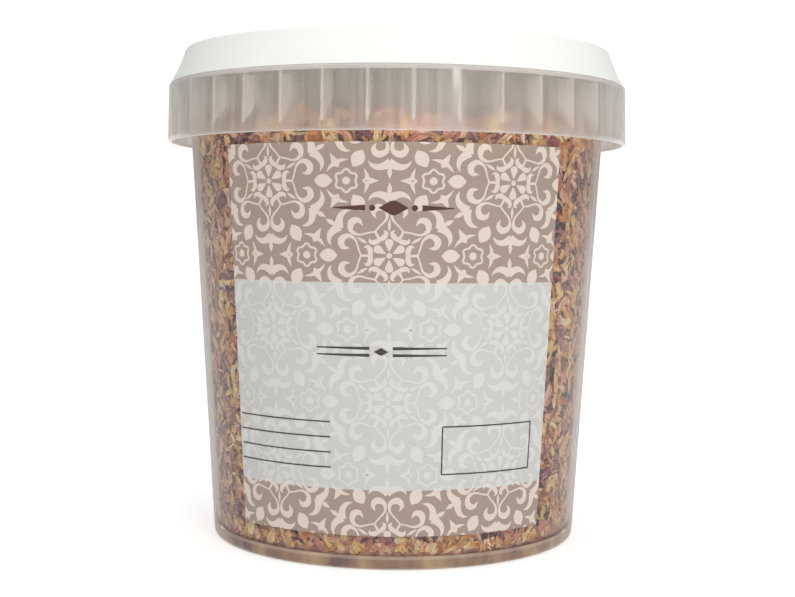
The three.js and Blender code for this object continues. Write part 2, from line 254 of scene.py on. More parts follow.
def milky_plastic(name, milk, clear, edge, rim=0.0, shine=0.2, blur=0.0, streaks=(4, 0.1),
                  thick_and_highlight=(), headspace_shade=None, glow_share=0.3, tint="#FFFFFF"):
    """Natural polypropylene, gloss moulded: a see-through plastic with a body the colour
    of `milk`. Square on, each of its faces is `clear` to that share. Where the eye looks
    along it, it turns to a veil: `edge` gives where that starts and ends, and how dense
    it gets, `rim` how dense at the very edge, and its gloss mirrors more, up to `shine`.
    `blur` throws what stands behind it out of focus, and `tint` colours it. `streaks`
    run up it as the melt flowed: their spacing in millimetres, and their strength.
    `thick_and_highlight` lists the height ranges, in millimetres, where the moulding is milkier,
    and how much: partly thicker plastic there, partly a painted highlight along its edges.
    `headspace_shade` gives the height from which the tint it lets through turns greyer, and
    that grey: painted shade for the dim space inside above the heap, laid on what is seen
    and lit through the plastic. `glow_share` is the part of its body that the light behind
    shines through."""
    material, tree, output = new_material(name)
    facing = add_node(tree, "ShaderNodeLayerWeight", {"Blend": 0.5})
    veil = add_node(tree, "ShaderNodeMapRange", {
        "Value": facing.outputs["Facing"], "From Min": edge[0], "From Max": edge[1],
        "To Min": 1 - clear, "To Max": edge[2]}, interpolation_type="SMOOTHSTEP")
    brim = add_node(tree, "ShaderNodeMapRange", {
        "Value": facing.outputs["Facing"], "From Min": RIM_FACING[0], "From Max": RIM_FACING[1],
        "To Max": rim})
    veiled = add_node(tree, "ShaderNodeMath", {
        0: veil.outputs[0], 1: brim.outputs[0]}, operation="MAXIMUM")
    place = add_node(tree, "ShaderNodeTexCoord")
    drawn = add_node(tree, "ShaderNodeMapping", {
        "Vector": place.outputs["Object"], "Scale": (1, 1, 0.05)})
    flow = add_node(tree, "ShaderNodeTexNoise", {
        "Vector": drawn.outputs[0], "Scale": 1 / (streaks[0] * MM), "Detail": 1.0})
    streak = add_node(tree, "ShaderNodeMapRange", {
        "Value": flow.outputs["Fac"], "From Min": 0.3, "From Max": 0.7,
        "To Min": 1 - streaks[1], "To Max": 1 + streaks[1]})
    streaked = add_node(tree, "ShaderNodeMath", {
        0: veiled.outputs[0], 1: streak.outputs[0]}, operation="MULTIPLY", use_clamp=True)
    dense = streaked.outputs[0]
    parts = add_node(tree, "ShaderNodeSeparateXYZ", {0: place.outputs["Object"]})
    # Each band is whiter than the plastic's milk: partly the thicker moulding, partly a painted
    # highlight along its edge.
    for low, high, share in thick_and_highlight:
        off_middle = add_node(tree, "ShaderNodeMath", {
            0: parts.outputs["Z"], 1: (low + high) / 2 * MM}, operation="SUBTRACT")
        off = add_node(tree, "ShaderNodeMath", {0: off_middle.outputs[0]}, operation="ABSOLUTE")
        band = add_node(tree, "ShaderNodeMapRange", {
            "Value": off.outputs[0], "From Min": ((high - low) / 2 + 0.3) * MM,
            "From Max": ((high - low) / 2 - 0.3) * MM, "To Max": share})
        denser = add_node(tree, "ShaderNodeMath", {
            0: dense, 1: band.outputs[0]}, operation="MAXIMUM")
        dense = denser.outputs[0]
    solid = add_node(tree, "ShaderNodeBsdfPrincipled", {
        "Base Color": linear(milk), "Roughness": 0.32, "IOR": 1.49})
    glow = add_node(tree, "ShaderNodeBsdfTranslucent", {"Color": linear(milk)})
    body = add_node(tree, "ShaderNodeMixShader", {
        0: glow_share, 1: solid.outputs[0], 2: glow.outputs[0]})
    through = add_node(tree, "ShaderNodeBsdfTransparent", {"Color": linear(tint)})
    # Painted shade: above the given height the see-through tint greys, darkening what is seen and lit
    # through the plastic in the dim space above the heap.
    if headspace_shade:
        film = add_node(tree, "ShaderNodeMapRange", {
            "Value": parts.outputs["Z"], "From Min": (headspace_shade[0] - 2) * MM,
            "From Max": (headspace_shade[0] + 2) * MM})
        shaded_tint = add_node(tree, "ShaderNodeMix", {
            0: film.outputs[0], 6: linear(tint), 7: linear(headspace_shade[1])}, data_type="RGBA")
        tree.links.new(shaded_tint.outputs[2], through.inputs["Color"])
    if blur:
        frost = add_node(tree, "ShaderNodeBsdfRefraction", {
            "Color": linear(tint), "Roughness": blur, "IOR": 1.49})
        path = add_node(tree, "ShaderNodeLightPath")
        sidelong = add_node(tree, "ShaderNodeMapRange", {
            "Value": facing.outputs["Facing"], "From Min": 0.6, "From Max": 0.8})
        unbent = add_node(tree, "ShaderNodeMath", {
            0: sidelong.outputs[0], 1: path.outputs["Is Shadow Ray"]}, operation="MAXIMUM")
        through = add_node(tree, "ShaderNodeMixShader", {
            0: unbent.outputs[0], 1: frost.outputs[0], 2: through.outputs[0]})
    hazy = add_node(tree, "ShaderNodeMixShader", {
        0: dense, 1: through.outputs[0], 2: body.outputs[0]})
    slant = add_node(tree, "ShaderNodeMath", {0: facing.outputs["Facing"], 1: 3.0}, operation="POWER")
    mirror = add_node(tree, "ShaderNodeMapRange", {
        "Value": slant.outputs[0], "To Min": 0.02, "To Max": shine})
    gloss = add_node(tree, "ShaderNodeBsdfGlossy", {"Color": (1, 1, 1, 1), "Roughness": 0.05})
    whole = add_node(tree, "ShaderNodeMixShader", {
        0: mirror.outputs[0], 1: hazy.outputs[0], 2: gloss.outputs[0]})
    tree.links.new(whole.outputs[0], output.inputs["Surface"])
    return material


def foot_plastic():
    """The thick foot of the same moulding: it carries the colours of the fill down
    through the floor as a soft brown blur, warmer above the pale line at the floor's
    edge than below it, and it pales again where it meets the table."""
    material, tree, output = new_material("polypropylene_foot")
    place = add_node(tree, "ShaderNodeTexCoord")
    spread = add_node(tree, "ShaderNodeMapping", {
        "Vector": place.outputs["Object"], "Scale": (1, 1, 0.4)})
    blots = add_node(tree, "ShaderNodeTexNoise", {
        "Vector": spread.outputs[0], "Scale": 1 / (6 * MM), "Detail": 2.0})
    tone = add_node(tree, "ShaderNodeValToRGB", {0: blots.outputs["Fac"]})
    stops = tone.color_ramp.elements
    stops.new(0.5)
    blur_tones = ((0.3, "#6E5452"), (0.5, "#9C7C62"), (0.7, "#B89C78"))
    for stop, (position, shade) in zip(stops, blur_tones):
        stop.position = position
        stop.color = linear(shade)
    parts = add_node(tree, "ShaderNodeSeparateXYZ", {0: place.outputs["Object"]})
    above = add_node(tree, "ShaderNodeMath", {
        0: parts.outputs["Z"], 1: FOOT_LINE * MM}, operation="SUBTRACT")
    off_line = add_node(tree, "ShaderNodeMath", {0: above.outputs[0]}, operation="ABSOLUTE")
    line = add_node(tree, "ShaderNodeMapRange", {
        "Value": off_line.outputs[0], "From Min": 0.5 * MM, "From Max": 0.2 * MM,
        "To Min": 0.06, "To Max": 0.26})
    filled = add_node(tree, "ShaderNodeMapRange", {
        "Value": above.outputs[0], "From Min": 0.2 * MM, "From Max": 0.5 * MM, "To Max": 0.5})
    warmed = add_node(tree, "ShaderNodeMix", {
        0: filled.outputs[0], 6: tone.outputs["Color"], 7: linear("#C8A27C")}, data_type="RGBA")
    brink = add_node(tree, "ShaderNodeMapRange", {
        "Value": parts.outputs["Z"], "From Min": 0.9 * MM, "From Max": 0.1 * MM, "To Max": 0.6})
    facing = add_node(tree, "ShaderNodeLayerWeight", {"Blend": 0.5})
    veil = add_node(tree, "ShaderNodeMapRange", {
        "Value": facing.outputs["Facing"], "From Min": 0.4, "From Max": 1.0, "To Max": 0.5})
    ends = add_node(tree, "ShaderNodeMath", {
        0: line.outputs[0], 1: brink.outputs[0]}, operation="MAXIMUM")
    pale = add_node(tree, "ShaderNodeMath", {
        0: ends.outputs[0], 1: veil.outputs[0]}, operation="MAXIMUM")
    colour = add_node(tree, "ShaderNodeMix", {
        0: pale.outputs[0], 6: warmed.outputs[2], 7: linear("#F2EAE2")}, data_type="RGBA")
    ring = add_node(tree, "ShaderNodeBsdfPrincipled", {
        "Base Color": colour.outputs[2], "Roughness": 0.3, "IOR": 1.49})
    glow = add_node(tree, "ShaderNodeBsdfTranslucent", {"Color": colour.outputs[2]})
    whole = add_node(tree, "ShaderNodeMixShader", {0: 0.35, 1: ring.outputs[0], 2: glow.outputs[0]})
    tree.links.new(whole.outputs[0], output.inputs["Surface"])
    return material


# The wall's see-through tint greys above the heap: painted shade for the dim space inside.
wall_plastic = milky_plastic(
    "polypropylene_wall", "#B4AAA4", 0.965, (0.42, 0.75, 0.2), rim=0.9, shine=0.12,
    headspace_shade=(SHADE_FILM_FROM, "#F0EDEA"))
collar_plastic = milky_plastic(
    "polypropylene_collar", "#F6F0EA", 0.8, (0.35, 0.7, 0.5), rim=0.45, shine=0.55,
    blur=0.38, streaks=(1.6, 0.5), glow_share=0.5, tint="#FAF8F5",
    # The band at the skirt's end is partly its thick edge, partly a painted highlight along its
    # rounding; the band at the flange is its thick edge seen end on.
    thick_and_highlight=((SKIRT_END - 0.6, SKIRT_END + 0.4, 0.65),
           (FLANGE_UNDERSIDE, COLLAR_TOP + 1, 0.8)))

tub_shape = turned([
    (0, FLOOR_UNDERSIDE),
    (FOOT_RING[0] - FOOT_DRAFT, FLOOR_UNDERSIDE),
    (FOOT_RING[0], 0),
    (FOOT_RING[1], 0),
    *arc((wall_radius(FOOT_ROUND) - FOOT_ROUND, FOOT_ROUND), FOOT_ROUND, -80, 0, 5),
    (wall_radius(FOOT_TOP), FOOT_TOP),
    (wall_radius(FLANGE_UNDERSIDE), FLANGE_UNDERSIDE),
    (SKIRT_RADIUS[1] - WALL_THICK, FLANGE_UNDERSIDE),
    (SKIRT_RADIUS[0] - WALL_THICK, SKIRT_END),
    (SKIRT_RADIUS[0] - SKIRT_BEVEL[0], SKIRT_END),
    (SKIRT_RADIUS[0], SKIRT_END + SKIRT_BEVEL[1]),
    (SKIRT_RADIUS[0], SKIRT_END + SKIRT_BEVEL[1] + SKIRT_LOOP),
    (SKIRT_RADIUS[1], COLLAR_TOP - COLLAR_ROUND - SKIRT_LOOP),
    *arc((SKIRT_RADIUS[1] - COLLAR_ROUND, COLLAR_TOP - COLLAR_ROUND), COLLAR_ROUND, 0, 90, 6),
    (NECK_RADIUS, COLLAR_TOP),
    (NECK_RADIUS, RIM_BEAD[1] - 0.8),
    *arc((NECK_RADIUS - 0.05, RIM_BEAD[1]), RIM_BEAD[0], -50, 50, 4),
    (NECK_RADIUS, RIM_TOP),
    (NECK_RADIUS - WALL_THICK, RIM_TOP),
    (NECK_RADIUS - WALL_THICK, COLLAR_TOP),
    (wall_radius(FLANGE_UNDERSIDE) - WALL_THICK, FLANGE_UNDERSIDE),
    (wall_radius(FLOOR_TOP) - WALL_THICK, FLOOR_TOP),
    (FOOT_REACH, FLOOR_TOP),
    (0, FLOOR_TOP),
])
for face in tub_shape.faces:
    middle = face.calc_center_median() / MM
    on_collar = middle.z > SKIRT_END - 1 and middle.xy.length > NECK_RADIUS + 0.8
    on_foot = middle.z < FLOOR_TOP + 0.5 and middle.xy.length > FOOT_REACH
    face.material_index = 1 if on_collar else 2 if on_foot else 0
tub = link_object("tub_moulding", tub_shape, wall_plastic, collar_plastic, foot_plastic())
soften(tub, 0.2)
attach(tub, "root")
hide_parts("tub")


# ---------------------------------------------------------------- collar ribs
# Thin plates of the same moulding that stiffen the collar. Each stands across
# the gap from the wall to the skirt and is cut off slanting below.

RIB_COUNT = 36
RIB_TURN = math.radians(3.7)
RIB_THICK = 0.8
RIB_ENDS = (122.4, 115.7)
RIB_SINK = 0.5


def rib_plate(shape, turn):
    """Adds one rib to the shape, standing at a turn round the collar."""
    inner = wall_radius(RIB_ENDS[0]) - RIB_SINK
    outer = SKIRT_RADIUS[1] - WALL_THICK + RIB_SINK
    outline = [(inner, FLANGE_UNDERSIDE + RIB_SINK), (inner, RIB_ENDS[0]),
               (outer, RIB_ENDS[1]), (outer, FLANGE_UNDERSIDE + RIB_SINK)]
    corners = [shape.verts.new((-RIB_THICK / 2 * MM, -r * MM, z * MM)) for r, z in outline]
    side = shape.faces.new(corners)
    grown = bmesh.ops.extrude_face_region(shape, geom=[side])["geom"]
    moved = [v for v in grown if isinstance(v, bmesh.types.BMVert)]
    bmesh.ops.translate(shape, verts=moved, vec=(RIB_THICK * MM, 0, 0))
    bmesh.ops.rotate(shape, verts=corners + moved, cent=(0, 0, 0),
                     matrix=Matrix.Rotation(turn, 3, "Z"))


rib_plastic = milky_plastic(
    "polypropylene_ribs", "#FFFDFA", 0.5, (0.2, 0.7, 0.22), glow_share=0.5)
rib_shape = bmesh.new()
for i in range(RIB_COUNT):
    rib_plate(rib_shape, RIB_TURN + 2 * math.pi * i / RIB_COUNT)
bmesh.ops.recalc_face_normals(rib_shape, faces=rib_shape.faces)
ribs = link_object("collar_ribs", rib_shape, rib_plastic)
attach(ribs, "root")
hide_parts("tub")


# ---------------------------------------------------------------- the flakes
# Dried shallot, cut in slices and rubbed apart: curled chips, crescents and
# strands, papery and fibrous. The heap is poured in and presses on the wall.

HEAP_EDGE = 117.0
HEAP_CROWN = 120.0
HEAP_SWELL = 3.0
CHIP_GRID = (6, 2)
CHIP_THICK = 0.3
WALL_GAPS = (0.03, 0.4)
PRESS = 0.4
# Chips against the wall, layer by layer: how many, how deep they lie, how they lean,
# and the level that they are filled to.
WALL_LAYERS = ((4300, (0.1, 0.9), 0.3, HEAP_EDGE), (2300, (0.9, 2.2), 0.5, HEAP_EDGE),
               (420, (0.2, 1.6), 0.3, FLOOR_TOP + 3))
CHIPS_ON_TOP = 950
CHIPS_ON_FLOOR = 850
GOLDEN_ANGLE = math.radians(137.508)
GOLDEN_SHARE = 0.6180339887
chance = random.Random(11)


def chip_shape(length, width, point, hook, cup, twist, fold, crumple):
    """A bmesh grid bent into one chip, in millimetres, lying along X and facing Z.
    `point` narrows its ends, `hook` bends it in its own plane, `cup` curls it over,
    `twist` turns one end against the other, `fold` creases it lengthwise, and
    `crumple` makes it ragged and uneven."""
    shape = bmesh.new()
    bmesh.ops.create_grid(shape, x_segments=CHIP_GRID[0], y_segments=CHIP_GRID[1], size=1)
    grain = shape.verts.layers.float_vector.new("grain")
    swell = [1 + crumple * chance.uniform(-0.45, 0.35) for _ in range(CHIP_GRID[0] + 1)]
    sway = [crumple * width * chance.uniform(-0.12, 0.12) for _ in range(CHIP_GRID[0] + 1)]
    for v in shape.verts:
        along, across = v.co.x, v.co.y
        station = round((along + 1) / 2 * CHIP_GRID[0])
        half = width / 2 * (1 - point * along ** 2) ** 0.5 * swell[station]
        x = (along + crumple * chance.uniform(-0.1, 0.1)) * length / 2
        y = across * half + sway[station]
        turn = twist * along
        lift = cup * along ** 2 * length / 4 - fold * abs(across) * half
        lift += crumple * chance.uniform(-0.45, 0.45)
        v[grain] = (x, y, 0)
        bend = hook * along ** 2 * length / 4
        v.co = (x, y * math.cos(turn) + bend, lift + y * math.sin(turn))
    bmesh.ops.solidify(shape, geom=shape.faces, thickness=CHIP_THICK)
    mesh = bpy.data.meshes.new("chip")
    shape.to_mesh(mesh)
    shape.free()
    return mesh


def either_way(low, high):
    """A random size between two, to one side or the other."""
    return chance.choice((-1, 1)) * chance.uniform(low, high)


def chip_shapes():
    """A few dozen chips to choose from: slices, crescents, strands and torn bits."""
    shapes = []
    for _ in range(10):
        shapes.append(chip_shape(chance.uniform(4.5, 8), chance.uniform(2.3, 3.7), 0.45,
                                 either_way(0, 0.35), chance.uniform(0, 0.4),
                                 either_way(0, 0.5), either_way(0.2, 0.7), 0.6))
    for _ in range(9):
        shapes.append(chip_shape(chance.uniform(5.5, 8.5), chance.uniform(1.4, 2.4), 0.6,
                                 either_way(0.5, 1.1), chance.uniform(-0.1, 0.3),
                                 either_way(0.1, 0.6), either_way(0.1, 0.7), 0.5))
    for _ in range(5):
        shapes.append(chip_shape(chance.uniform(5, 8), chance.uniform(0.8, 1.4), 0.4,
                                 either_way(0, 0.7), either_way(0, 0.4),
                                 either_way(0.2, 0.9), either_way(0, 0.6), 0.35))
    for _ in range(12):
        shapes.append(chip_shape(chance.uniform(2.6, 5.5), chance.uniform(2.2, 4.2), 0.3,
                                 either_way(0, 0.3), chance.uniform(0.1, 0.7),
                                 either_way(0, 0.5), either_way(0.2, 0.6), 0.8))
    return shapes


def dried_shallot(name, shades, fibre_and_crevice_dark):
    """Dried shallot flesh and skin: matt and slightly waxy, with fibres along each
    chip, darkened in their grooves: partly the fibres' own colour, partly painted shade
    in the crevices. Every chip starts from a shade of its own and drifts from it in patches."""
    material, tree, output = new_material(name)
    grain = add_node(tree, "ShaderNodeAttribute", attribute_name="grain")
    parts = add_node(tree, "ShaderNodeSeparateXYZ", {0: grain.outputs["Vector"]})
    patch_space = add_node(tree, "ShaderNodeVectorMath", {
        0: grain.outputs["Vector"], 1: (0.35, 0.6, 53.0)}, operation="MULTIPLY")
    patches = add_node(tree, "ShaderNodeTexNoise", {
        "Vector": patch_space.outputs[0], "Scale": 1.0, "Detail": 2.0})
    drift = add_node(tree, "ShaderNodeMapRange", {
        "Value": patches.outputs["Fac"], "From Min": 0.3, "From Max": 0.7,
        "To Min": -0.45, "To Max": 0.45})
    shade = add_node(tree, "ShaderNodeMath", {
        0: parts.outputs["Z"], 1: drift.outputs[0]}, operation="ADD", use_clamp=True)
    tone = add_node(tree, "ShaderNodeValToRGB", {0: shade.outputs[0]})
    stops = tone.color_ramp.elements
    while len(stops) < len(shades):
        stops.new(0.5)
    for i, colour in enumerate(shades):
        stops[i].position = i / (len(shades) - 1)
        stops[i].color = linear(colour)
    fibre_space = add_node(tree, "ShaderNodeVectorMath", {
        0: grain.outputs["Vector"], 1: (0.22, 1.9, 37.0)}, operation="MULTIPLY")
    fibres = add_node(tree, "ShaderNodeTexNoise", {
        "Vector": fibre_space.outputs[0], "Scale": 1.0, "Detail": 3.0, "Roughness": 0.65})
    # Where the fibres run low the chip darkens: partly the fibres' own colour, partly painted shade in
    # the crevices.
    depth = add_node(tree, "ShaderNodeMapRange", {
        "Value": fibres.outputs["Fac"], "From Min": 0.42, "From Max": 0.66,
        "To Min": 0.0, "To Max": 0.75})
    colour = add_node(tree, "ShaderNodeMix", {
        0: depth.outputs[0], 6: tone.outputs["Color"], 7: linear(fibre_and_crevice_dark)}, data_type="RGBA")
    bump = add_node(tree, "ShaderNodeBump", {
        "Height": fibres.outputs["Fac"], "Strength": 0.8, "Distance": 0.4 * MM}, invert=True)
    flesh = add_node(tree, "ShaderNodeBsdfPrincipled", {
        "Base Color": colour.outputs[2], "Roughness": 0.55, "Specular IOR Level": 0.35,
        "Normal": bump.outputs[0]})
    thin = add_node(tree, "ShaderNodeBsdfTranslucent", {"Color": colour.outputs[2]})
    whole = add_node(tree, "ShaderNodeMixShader", {0: 0.3, 1: flesh.outputs[0], 2: thin.outputs[0]})
    tree.links.new(whole.outputs[0], output.inputs["Surface"])
    return material


def squeezed(size, limit):
    """A size held under a limit: what comes near it is pressed together, not cut off."""
    deep = size - limit + PRESS
    return limit - PRESS / (1 + deep / PRESS) if deep > 0 else size


def pressed_in(point, gap):
    """A point of a chip, in millimetres, held inside the wall and above the floor."""
    point.z = -squeezed(-point.z, -FLOOR_TOP - gap)
    reach = point.xy.length
    point.xy *= squeezed(reach, wall_radius(point.z) - WALL_THICK - gap) / reach
    return point


def uneven(turn):
    """How far the top of the heap stands above its level, at a turn round the tub."""
    return HEAP_SWELL * (1 - 0.7 * math.sin(6 * turn) + 0.4 * math.sin(11 * turn + 1)) / 2


def chip_places():
    """Where each chip of the heap lies: a placing matrix for a chip along X facing Z."""
    places = []

    def against_wall(count, depth, lean, top):
        for i in range(count):
            turn = 2 * math.pi * ((i * GOLDEN_SHARE) % 1) + chance.uniform(-0.03, 0.03)
            level = top + uneven(turn) * top / HEAP_EDGE - FLOOR_TOP - 1.2
            height = FLOOR_TOP + 0.6 + level * (i + chance.random()) / count
            reach = wall_radius(height) - WALL_THICK - chance.uniform(*depth)
            tilt = Euler((chance.gauss(0, lean), chance.gauss(0, lean), chance.uniform(0, 2 * math.pi)))
            facing = Matrix.Rotation(turn, 4, "Z") @ Matrix.Translation((0, -reach, height))
            places.append(facing @ Matrix.Rotation(math.pi / 2, 4, "X") @ tilt.to_matrix().to_4x4())

    def lying(count, edge, height_at, lean, flip):
        for i in range(count):
            reach = edge * math.sqrt((i + 0.5) / count)
            turn = i * GOLDEN_ANGLE
            spot = Vector((reach * math.sin(turn), -reach * math.cos(turn), height_at(reach, turn)))
            tilt = Euler((flip + chance.gauss(0, lean), chance.gauss(0, lean),
                          chance.uniform(0, 2 * math.pi)))
            places.append(Matrix.Translation(spot) @ tilt.to_matrix().to_4x4())

    def on_top(reach, turn):
        fall = (HEAP_CROWN - HEAP_EDGE - uneven(turn)) * (reach / edge) ** 2
        return HEAP_CROWN - fall + chance.uniform(-1.2, 0)

    def on_floor(reach, turn):
        return FLOOR_TOP + chance.uniform(0.4, 1.4)

    for layer in WALL_LAYERS:
        against_wall(*layer)
    edge = wall_radius(HEAP_EDGE) - WALL_THICK - 1
    lying(CHIPS_ON_TOP, edge, on_top, 0.35, 0)
    lying(CHIPS_ON_FLOOR, wall_radius(FLOOR_TOP) - 3, on_floor, 0.2, math.pi)
    return places


def pour(name, material, places, shapes):
    """One piece of the heap: a copy of some shape in every place, each with its own shade."""
    corners, faces, grains = [], [], []
    for place in places:
        shape = chance.choice(shapes)
        shade = chance.random()
        size = chance.uniform(0.8, 1.15)
        gap = chance.uniform(*WALL_GAPS)
        first = len(corners)
        for v, grain in zip(shape.vertices, shape.attributes["grain"].data):
            corners.append(pressed_in(place @ (v.co * size), gap) * MM)
            grains.extend((grain.vector.x, grain.vector.y, shade))
        faces.extend([first + k for k in face.vertices] for face in shape.polygons)
    mesh = bpy.data.meshes.new(name)
    mesh.from_pydata(corners, [], faces)
    mesh.attributes.new("grain", "FLOAT_VECTOR", "POINT").data.foreach_set("vector", grains)
    mesh.materials.append(material)
    mesh.shade_smooth()
    mesh.set_sharp_from_angle(angle=math.radians(40))
    made = bpy.data.objects.new(name, mesh)
    bpy.context.collection.objects.link(made)
    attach(made, "root")
    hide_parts("flakes")
    return made


# For each kind: its share of the heap, its shades from dark to light, and the dark of its fibres, which
# also paints shade into their grooves.
FLAKE_KINDS = {
    "flakes_golden": (0.26, ("#C0703A", "#E2A258", "#F2C678", "#F4DA9C"), "#94501F"),
    "flakes_pink": (0.26, ("#C27660", "#DE9C80", "#EEBC9A", "#F2D2B0"), "#96503E"),
    "flakes_cream": (0.2, ("#DEB066", "#F0D48A", "#F6E4AA", "#F2DCB4"), "#BC8044"),
    "flakes_rose": (0.16, ("#965048", "#B86C5A", "#D28A70", "#E2A484"), "#66302A"),
    "flakes_plum": (0.12, ("#52283A", "#824458", "#A4646E", "#BE867E"), "#34182A"),
}
shapes = chip_shapes()
piles = {name: [] for name in FLAKE_KINDS}
shares = [kind[0] for kind in FLAKE_KINDS.values()]
for place in chip_places():
    piles[chance.choices(list(piles), shares)[0]].append(place)
for name, (_, shades, fibre_and_crevice_dark) in FLAKE_KINDS.items():
    pour(name, dried_shallot("dried_" + name, shades, fibre_and_crevice_dark), piles[name], shapes)


# ------------------------------------------------------- the heart of the heap
# The flakes deeper in the heap, which only show in the gaps between the outer
# ones: a rough turned body that the outer flakes are bedded on.

HEART_DEPTH = 2.3
HEART_ROUGH = 0.7


def heart_material():
    """Dried shallot in shadow: matt crumbs, brown and mauve, with painted shade darkening the hollows
    between them.
    """
    material, tree, output = new_material("dried_flakes_in_shadow")
    place = add_node(tree, "ShaderNodeTexCoord")
    crumbs = add_node(tree, "ShaderNodeTexVoronoi", {
        "Vector": place.outputs["Object"], "Scale": 1 / (2.5 * MM), "Randomness": 1.0})
    pick = add_node(tree, "ShaderNodeSeparateColor", {0: crumbs.outputs["Color"]})
    tone = add_node(tree, "ShaderNodeValToRGB", {0: pick.outputs[0]})
    tone.color_ramp.elements[0].color = linear("#9A6C60")
    tone.color_ramp.elements[1].color = linear("#DCB088")
    # Painted shade: the gaps between crumbs darken towards a deep brown.
    hollow_shade = add_node(tree, "ShaderNodeMapRange", {
        "Value": crumbs.outputs["Distance"], "From Min": 0.25, "From Max": 0.7})
    mottle = add_node(tree, "ShaderNodeMix", {
        0: hollow_shade.outputs[0], 6: tone.outputs["Color"], 7: linear("#7E5044")}, data_type="RGBA")
    bump = add_node(tree, "ShaderNodeBump", {
        "Height": crumbs.outputs["Distance"], "Strength": 0.8, "Distance": 0.6 * MM}, invert=True)
    flesh = add_node(tree, "ShaderNodeBsdfPrincipled", {
        "Base Color": mottle.outputs[2], "Roughness": 0.8, "Normal": bump.outputs[0]})
    tree.links.new(flesh.outputs[0], output.inputs["Surface"])
    return material


heart_low = FLOOR_TOP + 1.2
heart_foot = wall_radius(FLOOR_TOP) - WALL_THICK
heart_shape = turned([
    (0, heart_low),
    (heart_foot - 6, heart_low),
    (heart_foot - 0.3, FLOOR_TOP + 0.1),
    (heart_foot - 0.15, FLOOR_TOP + 0.25),
    (heart_foot - 0.3, FLOOR_TOP + 1.2),
    (heart_foot - HEART_DEPTH, FLOOR_TOP + 3.5),
    *[(wall_radius(z) - WALL_THICK - HEART_DEPTH, z) for z in range(8, 115, 3)],
    (wall_radius(HEAP_EDGE) - WALL_THICK - HEART_DEPTH - 1, HEAP_EDGE - 1.5),
    (45, HEAP_EDGE - 0.6),
    (30, HEAP_CROWN - 2.4),
    (15, HEAP_CROWN - 1.8),
    (0, HEAP_CROWN - 1.6),
])
for v in heart_shape.verts:
    if v.co.z > heart_low * MM:
        v.co.xy *= 1 - chance.random() * HEART_ROUGH * MM / max(v.co.xy.length, MM)
heart = link_object("flakes_heart", heart_shape, heart_material())
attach(heart, "root")
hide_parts("flakes")


# ----------------------------------------------------------------- the label
# Coated paper, printed and glued round the front of the wall: a taupe ground
# above and below, with a pale grey band between.

LABEL_HEIGHTS = (9.2, 110.8)
BAND_HEIGHTS = (21.4, 75.2)
LABEL_ENDS = (-47.8, 45.9)
PRINT_RADIUS = 56.5
PAPER_LIFT = 0.05
PAPER_THICK = 0.15


def cut_flat(shape, height=None, across=None, keep=None):
    """Cuts a flat bmesh along a height or across it; `keep` is the side that stays."""
    level, way = ((0, height, 0), (0, 1, 0)) if across is None else ((across, 0, 0), (1, 0, 0))
    everything = shape.verts[:] + shape.edges[:] + shape.faces[:]
    bmesh.ops.bisect_plane(shape, geom=everything, plane_co=level, plane_no=way,
                           clear_outer=keep == "below", clear_inner=keep == "above")


def wrap_round_wall(shape, lift, thickness):
    """Gives a flat print in (across, height) millimetres its thickness and bends it round
    the wall, with its underside at a lift above the wall."""
    grown = bmesh.ops.extrude_face_region(
        shape, geom=shape.faces[:] + shape.edges[:], use_keep_orig=True)["geom"]
    for v in grown:
        if isinstance(v, bmesh.types.BMVert):
            v.co.z = thickness
    bmesh.ops.recalc_face_normals(shape, faces=shape.faces)
    for v in shape.verts:
        turn = v.co.x / PRINT_RADIUS
        reach = wall_radius(v.co.y) + lift + v.co.z
        v.co = Vector((reach * math.sin(turn), -reach * math.cos(turn), v.co.y)) * MM


def printed_paper(name, ground, fleck_depth=0.03):
    """Coated paper, offset printed: semi-gloss, an even colour with a fine fleck of the
    printing screen, drawn at 0.6 mm so that it shows."""
    material, tree, output = new_material(name)
    place = add_node(tree, "ShaderNodeTexCoord")
    fleck = add_node(tree, "ShaderNodeTexNoise", {
        "Vector": place.outputs["Object"], "Scale": 1 / (0.6 * MM), "Detail": 2.0})
    shade = add_node(tree, "ShaderNodeMapRange", {
        "Value": fleck.outputs["Fac"], "From Min": 0.3, "From Max": 0.7,
        "To Min": 1 - fleck_depth, "To Max": 1 + fleck_depth})
    ink = add_node(tree, "ShaderNodeMix", {
        0: 1.0, 6: linear(ground), 7: shade.outputs[0]}, data_type="RGBA", blend_type="MULTIPLY")
    sheet = add_node(tree, "ShaderNodeBsdfPrincipled", {
        "Base Color": ink.outputs[2], "Roughness": 0.45, "Specular IOR Level": 0.4})
    tree.links.new(sheet.outputs[0], output.inputs["Surface"])
    return material


label_middle = (sum(LABEL_ENDS) / 2, sum(LABEL_HEIGHTS) / 2)
label_shape = bmesh.new()
bmesh.ops.create_grid(label_shape, x_segments=64, y_segments=6, size=0.5)
bmesh.ops.scale(label_shape, verts=label_shape.verts, vec=(
    LABEL_ENDS[1] - LABEL_ENDS[0], LABEL_HEIGHTS[1] - LABEL_HEIGHTS[0], 1))
bmesh.ops.translate(label_shape, verts=label_shape.verts, vec=(*label_middle, 0))
for border in BAND_HEIGHTS:
    cut_flat(label_shape, height=border)
for face in label_shape.faces:
    in_band = BAND_HEIGHTS[0] < face.calc_center_median().y < BAND_HEIGHTS[1]
    face.material_index = 1 if in_band else 0
wrap_round_wall(label_shape, PAPER_LIFT, PAPER_THICK)
label = link_object("label_sheet", label_shape, printed_paper("paper_taupe", "#958478"),
                    printed_paper("paper_pale_grey", "#B9B7B2"))
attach(label, "root")
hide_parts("label")


# ------------------------------------------------------------ the tile ornament
# The label's all-over print, an old floor-tile pattern: six-armed scrollwork
# medallions, with flowers, leaves and stars between them. Cream on the taupe,
# and barely lighter than the ground on the grey band.

MEDALLION = (-1.5, 82.1)
TILE_PITCH = (31.85, 37.8)
INK_THICK = 0.06
ARM_TURNS = [math.radians(60 * k) for k in range(6)]
GAP_TURNS = [math.radians(60 * k + 30) for k in range(6)]

